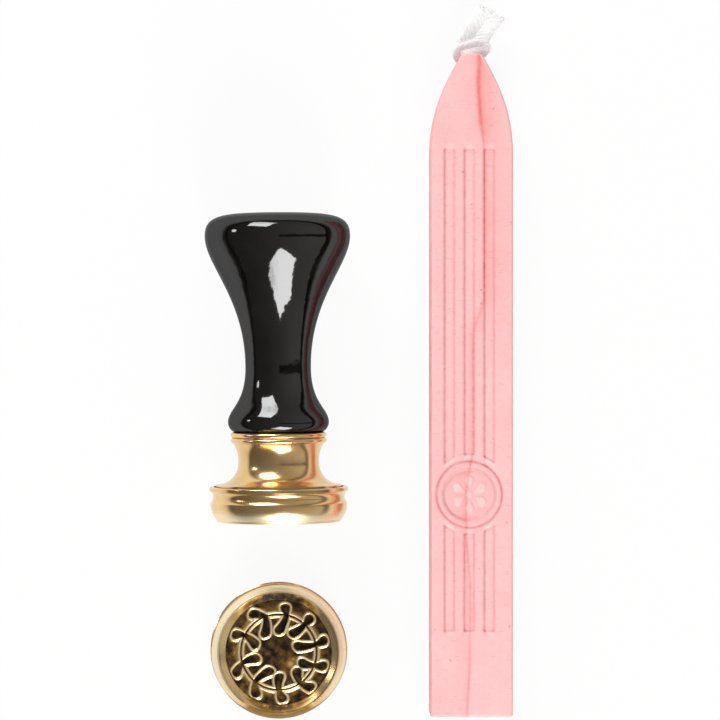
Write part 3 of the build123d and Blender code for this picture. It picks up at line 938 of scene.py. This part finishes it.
# ---- Finishes -------------------------------------------------------------------------------
MADE = {}
SHEET_CLEAR, SHEET_END = 0.08, 0.3     # the white sheet fades into the table between these radii, in metres
SHEET_GAP = 0.05 * MM                  # the sheet lies this far below the set, so that no faces coincide
SHEET_GLOW, SHEET_MIRRORED = 0.93, 0.8    # how much of the sheet is plain white to the lens, and to a mirror


def grain(tree, size, detail=2.0, place=None):
    """Noise on Object coordinates whose grains are about a size across."""
    if place is None:
        place = add(tree, "ShaderNodeTexCoord").outputs["Object"]
    return add(tree, "ShaderNodeTexNoise", {"Vector": place, "Scale": 1 / size, "Detail": detail})


def black_lacquer_on_hardwood(tree, c):
    """Sprayed and rubbed-out black lacquer on turned hardwood: a deep mirror with faint orange peel."""
    body = add(tree, "ShaderNodeMapRange", [grain(tree, 6 * MM), 0.4, 0.75])
    black = add(tree, "ShaderNodeMix", {0: body, 6: c.lacquer, 7: linear("15100E")}, data_type="RGBA")
    # The coat's IOR is raised until its mirror is as bright as the real one's. The mirror fades towards
    # the edges, where the rubbing marks close up and dull it.
    facing = add(tree, "ShaderNodeLayerWeight", {"Blend": 0.5}).outputs["Facing"]
    mirror = add(tree, "ShaderNodeMapRange", [facing, 0.12, 0.68, 1.0, 0.26])
    peel = add(tree, "ShaderNodeBump", {"Height": grain(tree, 1.7 * MM, 1.0), "Distance": 0.028 * MM})
    return add(tree, "ShaderNodeBsdfPrincipled",
               {"Base Color": black, "IOR": 1.5, "Roughness": 0.4, "Specular IOR Level": 0.0,
                "Coat IOR": 1.68, "Coat Roughness": 0.07, "Coat Weight": mirror, "Coat Normal": peel})


def polished_brass(tree, c):
    """Cast and turned brass, polished bright on its high places, dull and brown in its hollows."""
    # Patina runs from -1, rubbed pale and satin, through 0, polished, to 1, black oxide. Below zero it is
    # partly wear and partly painted highlight; on the lip and the spare head's rim it also carries painted
    # shade.
    patina = add(tree, "ShaderNodeAttribute", attribute_name="patina").outputs["Fac"]
    clouds = add(tree, "ShaderNodeMapRange", [grain(tree, 1.3 * MM, 4.0), 0.35, 0.7, -0.3, 0.3])
    spots = add(tree, "ShaderNodeMapRange", [grain(tree, 0.25 * MM, 3.0), 0.4, 0.75, -0.1, 0.2])
    uneven = add(tree, "ShaderNodeMath", [clouds, spots], operation="ADD")
    touched = add(tree, "ShaderNodeMapRange", [patina, 0.3, 0.55])
    uneven = add(tree, "ShaderNodeMath", [uneven, touched], operation="MULTIPLY")
    aged = add(tree, "ShaderNodeMath", [patina, uneven], operation="ADD", use_clamp=True)
    # Below zero the brass is painted pale and satin: partly wear, partly painted highlight.
    satin = add(tree, "ShaderNodeMapRange", [patina, 0.0, -1.0])
    warmth = add(tree, "ShaderNodeMapRange", [grain(tree, 5 * MM), 0.35, 0.7])
    tone = add(tree, "ShaderNodeMix", {0: warmth, 6: c.brass, 7: linear("E2BB7E")}, data_type="RGBA")
    tone = add(tree, "ShaderNodeMix", {0: satin, 6: tone, 7: c.worn}, data_type="RGBA")
    for start, end, colour_there in ((0.12, 0.3, c.dull), (0.3, 0.6, c.patina), (0.6, 1.0, c.soot)):
        share = add(tree, "ShaderNodeMapRange", [aged, start, end])
        tone = add(tree, "ShaderNodeMix", {0: share, 6: tone, 7: colour_there}, data_type="RGBA")
    bare = add(tree, "ShaderNodeMapRange", [aged, 0.02, 0.35, 0.93, 0.35])
    along = add(tree, "ShaderNodeAttribute", attribute_name="turning").outputs["Fac"]
    marks = add(tree, "ShaderNodeTexNoise", {"W": along, "Scale": 1 / (0.09 * MM), "Detail": 3.0},
                noise_dimensions="1D")
    gloss = add(tree, "ShaderNodeMapRange", [aged, 0.0, 0.2, 0.19, 0.42])
    for share, low, high, rougher in ((satin, 0.0, 1.0, 0.25), (marks, 0.45, 0.8, 0.06)):
        rougher = add(tree, "ShaderNodeMapRange", [share, low, high, 0.0, rougher])
        gloss = add(tree, "ShaderNodeMath", [gloss, rougher], operation="ADD", use_clamp=True)
    hand = add(tree, "ShaderNodeBump", {"Height": grain(tree, 2.6 * MM, 1.0), "Distance": 0.02 * MM})
    rings = add(tree, "ShaderNodeBump", {"Height": marks, "Distance": 0.001 * MM, "Normal": hand})
    return add(tree, "ShaderNodeBsdfPrincipled",
               {"Base Color": tone, "Metallic": bare, "Roughness": gloss, "Specular IOR Level": 0.2,
                "Normal": rings})


def turned_brass_insert(tree, c):
    """Free-cutting brass straight from the lathe: yellow, with plain tool rings."""
    place = add(tree, "ShaderNodeTexCoord").outputs["Object"]
    # A wave of Scale 1 turns 20 radians in a metre: these rings lie 2.2 mm apart, drawn coarse to show.
    rings = add(tree, "ShaderNodeTexWave",
                {"Vector": place, "Scale": 1 / (0.35 * MM) / 20, "Distortion": 0.4},
                wave_type="BANDS", bands_direction="Y").outputs["Fac"]
    yellow = add(tree, "ShaderNodeMix", {0: grain(tree, 1.5 * MM), 6: c.brass, 7: linear("C79F58")},
                 data_type="RGBA")
    gloss = add(tree, "ShaderNodeMapRange", [rings, 0.0, 1.0, 0.24, 0.38])
    raised = add(tree, "ShaderNodeBump", {"Height": rings, "Distance": 0.008 * MM})
    return add(tree, "ShaderNodeBsdfPrincipled",
               {"Base Color": yellow, "Metallic": 1.0, "Roughness": gloss, "Normal": raised})


def zinc_plated_steel(tree, c):
    """Zinc-plated steel: a cool satin grey with a faint bloom."""
    bloom = grain(tree, 1.1 * MM, 3.0)
    share = add(tree, "ShaderNodeMapRange", [bloom, 0.35, 0.7])
    grey = add(tree, "ShaderNodeMix", {0: share, 6: c.steel, 7: linear("8D9095")}, data_type="RGBA")
    gloss = add(tree, "ShaderNodeMapRange", [bloom, 0.3, 0.7, 0.26, 0.4])
    grit = add(tree, "ShaderNodeBump", {"Height": grain(tree, 0.2 * MM), "Distance": 0.004 * MM})
    return add(tree, "ShaderNodeBsdfPrincipled",
               {"Base Color": grey, "Metallic": 1.0, "Roughness": gloss, "Normal": grit})


def pink_sealing_wax(tree, c):
    """Moulded resin wax: soft satin, with painted glow where light soaks in, painted shade in its sharp lines
    and painted highlight on its scoops and petals, a little dusty.
    """
    place = add(tree, "ShaderNodeTexCoord").outputs["Object"]
    # The attributes carry painted glow above zero, painted highlight below it, and the painted shade of thin
    # lines.
    painted_glow = add(tree, "ShaderNodeAttribute", attribute_name="blush").outputs["Fac"]
    line_shade = add(tree, "ShaderNodeAttribute", attribute_name="groove").outputs["Fac"]
    painted_highlight = add(tree, "ShaderNodeMapRange", [painted_glow, 0.0, -1.0])
    tone = add(tree, "ShaderNodeMix", {0: painted_highlight, 6: c.wax, 7: c.bloom}, data_type="RGBA")
    redness = add(tree, "ShaderNodeMapRange", [painted_glow, 0.0, 1.0])
    for size, detail, low, high, most in ((7 * MM, 3.0, 0.35, 0.75, 0.14), (0.7 * MM, 2.0, 0.4, 0.8, 0.12)):
        cloud = add(tree, "ShaderNodeMapRange", [grain(tree, size, detail), low, high, 0.0, most])
        redness = add(tree, "ShaderNodeMath", [redness, cloud], operation="ADD", use_clamp=True)
    tone = add(tree, "ShaderNodeMix", {0: redness, 6: tone, 7: c.blush}, data_type="RGBA")
    broken = add(tree, "ShaderNodeMapRange", [grain(tree, 0.9 * MM, 3.0), 0.3, 0.7, 0.6, 1.2])
    line_shade = add(tree, "ShaderNodeMath", [line_shade, broken], operation="MULTIPLY")
    tone = add(tree, "ShaderNodeMix", {0: line_shade, 6: tone, 7: c.groove}, data_type="RGBA")
    # Specks of dust, some 2.3 mm apart and in loose groups, and rubs that run across the stick.
    cell = add(tree, "ShaderNodeTexVoronoi", {"Vector": place, "Scale": 1 / (2.3 * MM)}).outputs["Distance"]
    specks = add(tree, "ShaderNodeMapRange", [cell, 0.06, 0.11, 1.0, 0.0])
    groups = add(tree, "ShaderNodeMapRange", [grain(tree, 4.3 * MM), 0.45, 0.52])
    dust = add(tree, "ShaderNodeMath", [specks, groups], operation="MULTIPLY")
    dust = add(tree, "ShaderNodeMath", [dust, 0.4], operation="MULTIPLY")
    drawn_out = add(tree, "ShaderNodeMapping", {"Vector": place, "Scale": (0.25, 1.0, 1.0)}).outputs[0]
    rubs = add(tree, "ShaderNodeMapRange", [grain(tree, 0.35 * MM, place=drawn_out), 0.62, 0.72, 0.0, 0.16])
    dust = add(tree, "ShaderNodeMath", [dust, rubs], operation="ADD", use_clamp=True)
    tone = add(tree, "ShaderNodeMix", {0: dust, 6: tone, 7: c.speck}, data_type="RGBA")
    satin = add(tree, "ShaderNodeMapRange", [grain(tree, 1.3 * MM), 0.3, 0.7, 0.4, 0.52])
    skin = add(tree, "ShaderNodeBump", {"Height": grain(tree, 0.5 * MM, 3.0), "Distance": 0.025 * MM})
    return add(tree, "ShaderNodeBsdfPrincipled",
               {"Base Color": tone, "Roughness": satin, "IOR": 1.45, "Subsurface Weight": 0.3,
                "Subsurface Radius": (1.0, 0.45, 0.4), "Subsurface Scale": 0.7 * MM, "Normal": skin})


def bleached_cotton_yarn(tree, c):
    """Bleached cotton yarn: matt white and fluffy, with a soft sheen at its edges."""
    yarn = grain(tree, 0.14 * MM, 3.0)
    share = add(tree, "ShaderNodeMapRange", [yarn, 0.3, 0.6])
    white = add(tree, "ShaderNodeMix", {0: share, 6: linear("ECEBE9"), 7: c.cotton}, data_type="RGBA")
    matt = add(tree, "ShaderNodeMapRange", [yarn, 0.3, 0.7, 0.8, 0.95])
    fluff = add(tree, "ShaderNodeBump", {"Height": yarn, "Distance": 0.04 * MM})
    # The faint glow is painted light that lifts the braid's shaded creases towards white.
    return add(tree, "ShaderNodeBsdfPrincipled",
               {"Base Color": white, "Roughness": matt, "IOR": 1.4, "Sheen Weight": 0.3,
                "Sheen Roughness": 0.5, "Emission Color": (1.0, 1.0, 1.0), "Emission Strength": 0.085,
                "Normal": fluff})


def white_studio_paper(tree, c):
    """Matt white paper on a grey table: the lens sees white everywhere, gloss and glass see the lit sheet."""
    place = add(tree, "ShaderNodeTexCoord").outputs["Object"]
    away = add(tree, "ShaderNodeVectorMath", [place], operation="LENGTH")
    sheet = add(tree, "ShaderNodeMapRange", [away, SHEET_CLEAR, SHEET_END, 1.0, 0.0])
    ray = add(tree, "ShaderNodeLightPath").outputs
    white = add(tree, "ShaderNodeMath", [ray["Is Camera Ray"], sheet], operation="ADD", use_clamp=True)
    share = add(tree, "ShaderNodeMapRange", [grain(tree, 400 * MM), 0.3, 0.7])
    tone = add(tree, "ShaderNodeMix", {0: share, 6: c.paper, 7: linear("F3F3F3")}, data_type="RGBA")
    tone = add(tree, "ShaderNodeMix", {0: white, 6: c.table, 7: tone}, data_type="RGBA")
    paper = add(tree, "ShaderNodeBsdfDiffuse", {"Color": tone})
    glow = add(tree, "ShaderNodeEmission", {"Color": (1, 1, 1), "Strength": 1.0})
    mirrored = add(tree, "ShaderNodeMath", [ray["Is Glossy Ray"], ray["Is Transmission Ray"]],
                   operation="ADD", use_clamp=True)
    for factor in (sheet, SHEET_MIRRORED):
        mirrored = add(tree, "ShaderNodeMath", [mirrored, factor], operation="MULTIPLY")
    share = add(tree, "ShaderNodeMath", [ray["Is Camera Ray"], SHEET_GLOW, mirrored],
                operation="MULTIPLY_ADD")
    return add(tree, "ShaderNodeMixShader", [share, paper, glow])


def finish_of(maker):
    """A finish, made once, named for its maker and shared by the pieces that carry it."""
    if maker not in MADE:
        material = bpy.data.materials.new(maker.__name__)
        tree = cleared(material)
        add(tree, "ShaderNodeOutputMaterial", [maker(tree, settings("sealing_finish"))])
        MADE[maker] = material
    return MADE[maker]


def dress_node(node, maker):
    """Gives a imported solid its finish."""
    solid = frame["nodes"][node]
    solid.data.materials.clear()
    solid.data.materials.append(finish_of(maker))


# ---- Operators ------------------------------------------------------------------------------
# Lamps: azimuth from the seal end towards the wax, angle from the zenith, distance, shape, width (metres)
# and how bright each looks next to white paper. The square ones hang on a corner.
SOFT_BOXES = {
    "seal_end_box": (8.0, 54.5, 1.05, "SQUARE", 0.55, 10.2),
    "dome_end_box": (203.0, 63.0, 1.05, "SQUARE", 0.55, 10.2),
    "left_lamp": (-105.7, 73.4, 1.1, "DISK", 0.16, 10.0),
}
ROOM_DARK, ROOM_LIGHT = 0.12, 0.56     # the room's brightness on the left and on the right


def grey_room():
    """A plain grey room, white to the lens, darker on the left, with a black boom arm on its right."""
    world = bpy.data.worlds.new("plain_grey_room")
    tree = cleared(world)
    heading = add(tree, "ShaderNodeTexCoord").outputs["Generated"]
    right = add(tree, "ShaderNodeSeparateXYZ", [heading]).outputs["X"]
    along = add(tree, "ShaderNodeSeparateXYZ", [heading]).outputs["Y"]
    rise = add(tree, "ShaderNodeMapRange", [right, -1.0, 1.0])
    rise = add(tree, "ShaderNodeMath", [rise, 1.6], operation="POWER")
    level = add(tree, "ShaderNodeMapRange", [rise, 0.0, 1.0, ROOM_DARK, ROOM_LIGHT])
    # The arm: a black bar overhead from the right, narrow along the set.
    aside = add(tree, "ShaderNodeMath", [along], operation="ABSOLUTE")
    beside = add(tree, "ShaderNodeMapRange", [aside, 0.05, 0.08])
    before = add(tree, "ShaderNodeMapRange", [right, 0.1, 0.03])
    clear = add(tree, "ShaderNodeMath", [beside, before], operation="ADD", use_clamp=True)
    shaded = add(tree, "ShaderNodeMapRange", [clear, 0.0, 1.0, 0.12, 1.0])
    level = add(tree, "ShaderNodeMath", [level, shaded], operation="MULTIPLY")
    seen = add(tree, "ShaderNodeLightPath").outputs["Is Camera Ray"]
    level = add(tree, "ShaderNodeMath", [level, seen], operation="ADD", use_clamp=True)
    tint = add(tree, "ShaderNodeMix", {0: seen, 6: linear("FFFCF8"), 7: (1, 1, 1)}, data_type="RGBA")
    add(tree, "ShaderNodeOutputWorld", [add(tree, "ShaderNodeBackground", [tint, level])])
    return world


def soft_box_cloth(lamp):
    """Creased cloth over a soft box: brighter towards one corner."""
    tree = cleared(lamp)
    place = add(tree, "ShaderNodeNewGeometry").outputs["Parametric"]
    along = add(tree, "ShaderNodeSeparateXYZ", [place]).outputs["X"]
    creases = add(tree, "ShaderNodeTexNoise", {"Vector": place, "Scale": 7.0, "Detail": 3.0})
    level = add(tree, "ShaderNodeMapRange", [along, 0.0, 1.0, 0.45, 1.2])
    creased = add(tree, "ShaderNodeMapRange", [creases, 0.3, 0.7, 0.0, 0.36])
    level = add(tree, "ShaderNodeMath", [level, creased], operation="ADD", use_clamp=True)
    add(tree, "ShaderNodeOutputLight", [add(tree, "ShaderNodeEmission", {"Strength": level})])


def hang_soft_box(scene, name, around, zenith, distance, shape, width, level):
    """Hangs a soft box that looks at the set's middle, and stands on one of its corners."""
    around, zenith = math.radians(around), math.radians(zenith)
    heading = Vector((math.sin(around) * math.sin(zenith), -math.cos(around) * math.sin(zenith),
                      math.cos(zenith)))
    lamp = bpy.data.lights.new(name, "AREA")
    lamp.shape = shape
    lamp.size = width
    area = width ** 2 * (math.pi / 4 if shape == "DISK" else 1)
    lamp.energy = level * math.pi * area
    soft_box_cloth(lamp)
    box = bpy.data.objects.new(name, lamp)
    box.location = heading * distance
    corner_up = Matrix.Rotation(math.radians(45), 3, "Z")
    box.rotation_euler = (heading.to_track_quat("Z", "Y").to_matrix() @ corner_up).to_euler()
    scene.collection.objects.link(box)


def set_camera(scene, s):
    """Puts the camera over the set, without roll, and makes it the scene's."""
    lens = bpy.data.cameras.new("overhead_camera")
    lens.lens = s.lens
    lens.sensor_width = 36.0
    lens.clip_start, lens.clip_end = s.camera_height / 100, s.camera_height * 100
    camera = bpy.data.objects.new("overhead_camera", lens)
    camera.location = (s.camera_right, s.camera_back, s.camera_height)
    back = (camera.location - Vector((s.aim_right, s.aim_back, s.aim_height))).normalized()
    camera.rotation_euler = (-math.asin(back.y), math.atan2(back.x, back.z), 0)
    scene.collection.objects.link(camera)
    scene.camera = camera


class SEALING_OT_stage(bpy.types.Operator):
    """Lays the white sweep and sets the lights and the camera"""
    bl_idname = "sealing.stage"
    bl_label = "Stage"

    def execute(self, context):
        s = settings("sealing_stage")
        corner = s.sweep_wall / 2
        outline = [(0, -SHEET_GAP), (s.sweep_radius - corner, -SHEET_GAP)]
        outline += arc((s.sweep_radius - corner, corner - SHEET_GAP), corner, -90, 0)
        outline.append((s.sweep_radius, s.sweep_wall))
        turned("white_sweep", outline, finish_of(white_studio_paper), steps=96)
        for name, places in SOFT_BOXES.items():
            hang_soft_box(context.scene, name, *places)
        context.scene.world = grey_room()
        set_camera(context.scene, s)
        context.scene.view_settings.view_transform = "Standard"
        return {"FINISHED"}


class SEALING_OT_handle(bpy.types.Operator):
    """Turns the lacquered handle"""
    bl_idname = "sealing.handle"
    bl_label = "Handle"

    def execute(self, context):
        piece = turned("lacquered_handle", handle_outline(settings("sealing_stamp")),
                       finish_of(black_lacquer_on_hardwood), steps=288, place=stamp_frame())
        finish_piece(piece, "stamp", "lacquered_wood", "handle")
        return {"FINISHED"}


class SEALING_OT_neck(bpy.types.Operator):
    """Turns the brass neck with its beads and foot plate"""
    bl_idname = "sealing.neck"
    bl_label = "Neck"

    def execute(self, context):
        piece = turned("brass_neck", neck_outline(settings("sealing_stamp")), finish_of(polished_brass),
                       steps=288, closed=True, place=stamp_frame())
        finish_piece(piece, "stamp", "polished_brass", "seal_neck")
        return {"FINISHED"}


class SEALING_OT_heads(bpy.types.Operator):
    """Turns and engraves the seal on the stamp and the spare one"""
    bl_idname = "sealing.heads"
    bl_label = "Seal Heads"

    def execute(self, context):
        s, stamp = settings("sealing_head"), settings("sealing_stamp")
        # The last number of each head turns the rim's painted shade on or off.
        heads = (("engraved_seal", stamp_frame(stamp.seal_back), "die", "seal_die", 0.0),
                 ("engraved_spare_seal", spare_frame(), "spare", "spare_die", 1.0))
        for name, place, body, node, painted_rim_shade in heads:
            relief = seal_relief(s, stamp.thread_pitch, stamp.thread_depth, stamp.seal_back, painted_rim_shade)
            piece = turned(name, seal_outline(s, stamp.thread_pitch), finish_of(polished_brass),
                           steps=432, relief=relief, place=place)
            finish_piece(piece, body, "polished_brass", node)
        return {"FINISHED"}


class SEALING_OT_fittings(bpy.types.Operator):
    """Cuts the stud's thread and finishes the insert and the washer"""
    bl_idname = "sealing.fittings"
    bl_label = "Stud, Insert and Washer"

    def execute(self, context):
        s = settings("sealing_stamp")
        bevel = s.thread_pitch / 2
        ends = ((s.thread_radius, s.insert_top + bevel), (s.thread_radius, s.stud_end - bevel))
        outline = [(0, s.insert_top), (s.thread_radius - bevel, s.insert_top), ends[0]]
        outline += run(*ends, s.thread_pitch / THREAD_STEPS)
        outline += [(s.thread_radius - bevel, s.stud_end), (0, s.stud_end)]
        piece = turned("threaded_stud", outline, finish_of(zinc_plated_steel), steps=96,
                       relief=thread_relief(s), place=stamp_frame())
        finish_piece(piece, "stamp", "zinc_steel", "stud")
        dress_node("handle_insert", turned_brass_insert)
        dress_node("lock_washer", zinc_plated_steel)
        return {"FINISHED"}


class SEALING_OT_wax(bpy.types.Operator):
    """Moulds the fluted stick of sealing wax"""
    bl_idname = "sealing.wax"
    bl_label = "Wax Stick"

    def execute(self, context):
        piece = wax_stick_mesh(settings("sealing_wax"))
        piece.data.materials.append(finish_of(pink_sealing_wax))
        finish_piece(piece, "wax", "sealing_wax", "wax_stick")
        return {"FINISHED"}


class SEALING_OT_wick(bpy.types.Operator):
    """Braids the cotton wick and the turn that it takes round the tip"""
    bl_idname = "sealing.wick"
    bl_label = "Wick"

    def execute(self, context):
        s = settings("sealing_wick")
        lower_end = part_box("wick")[0].y
        wick = wick_part("braided_wick", WICK_LINE, s, finish_of(bleached_cotton_yarn), 3, buried=lower_end)
        finish_piece(wick, "wax", "cotton", "wick")
        wrap = wick_part("wick_wrap", WRAP_LINE, s, finish_of(bleached_cotton_yarn), 8)
        finish_piece(wrap, "wax", "cotton")
        return {"FINISHED"}


OPERATORS = (SEALING_OT_stage, SEALING_OT_handle, SEALING_OT_neck, SEALING_OT_heads, SEALING_OT_fittings,
             SEALING_OT_wax, SEALING_OT_wick)


class SEALING_PT_set(bpy.types.Panel):
    """Sizes, colours and steps of the sealing set"""
    bl_idname = "SEALING_PT_set"
    bl_label = "Wax Sealing Set"
    bl_space_type = "VIEW_3D"
    bl_region_type = "UI"
    bl_category = "Sealing Set"

    def draw(self, context):
        for operator in OPERATORS:
            self.layout.operator(operator.bl_idname)
        for name, group in GROUPS.items():
            box = self.layout.box()
            box.label(text=group.__name__)
            for prop in group.__annotations__:
                box.prop(getattr(context.scene, name), prop)


CLASSES = (*GROUPS.values(), *OPERATORS, SEALING_PT_set)


def register():
    for kind in CLASSES:
        bpy.utils.register_class(kind)
    for name, group in GROUPS.items():
        setattr(bpy.types.Scene, name, bpy.props.PointerProperty(type=group))


def unregister():
    for name in GROUPS:
        delattr(bpy.types.Scene, name)
    for kind in reversed(CLASSES):
        bpy.utils.unregister_class(kind)


def main():
    """Builds the whole set."""
    register()
    for operator in OPERATORS:
        getattr(bpy.ops.sealing, operator.bl_idname.split(".")[1])()


if __name__ == "__main__":
    main()
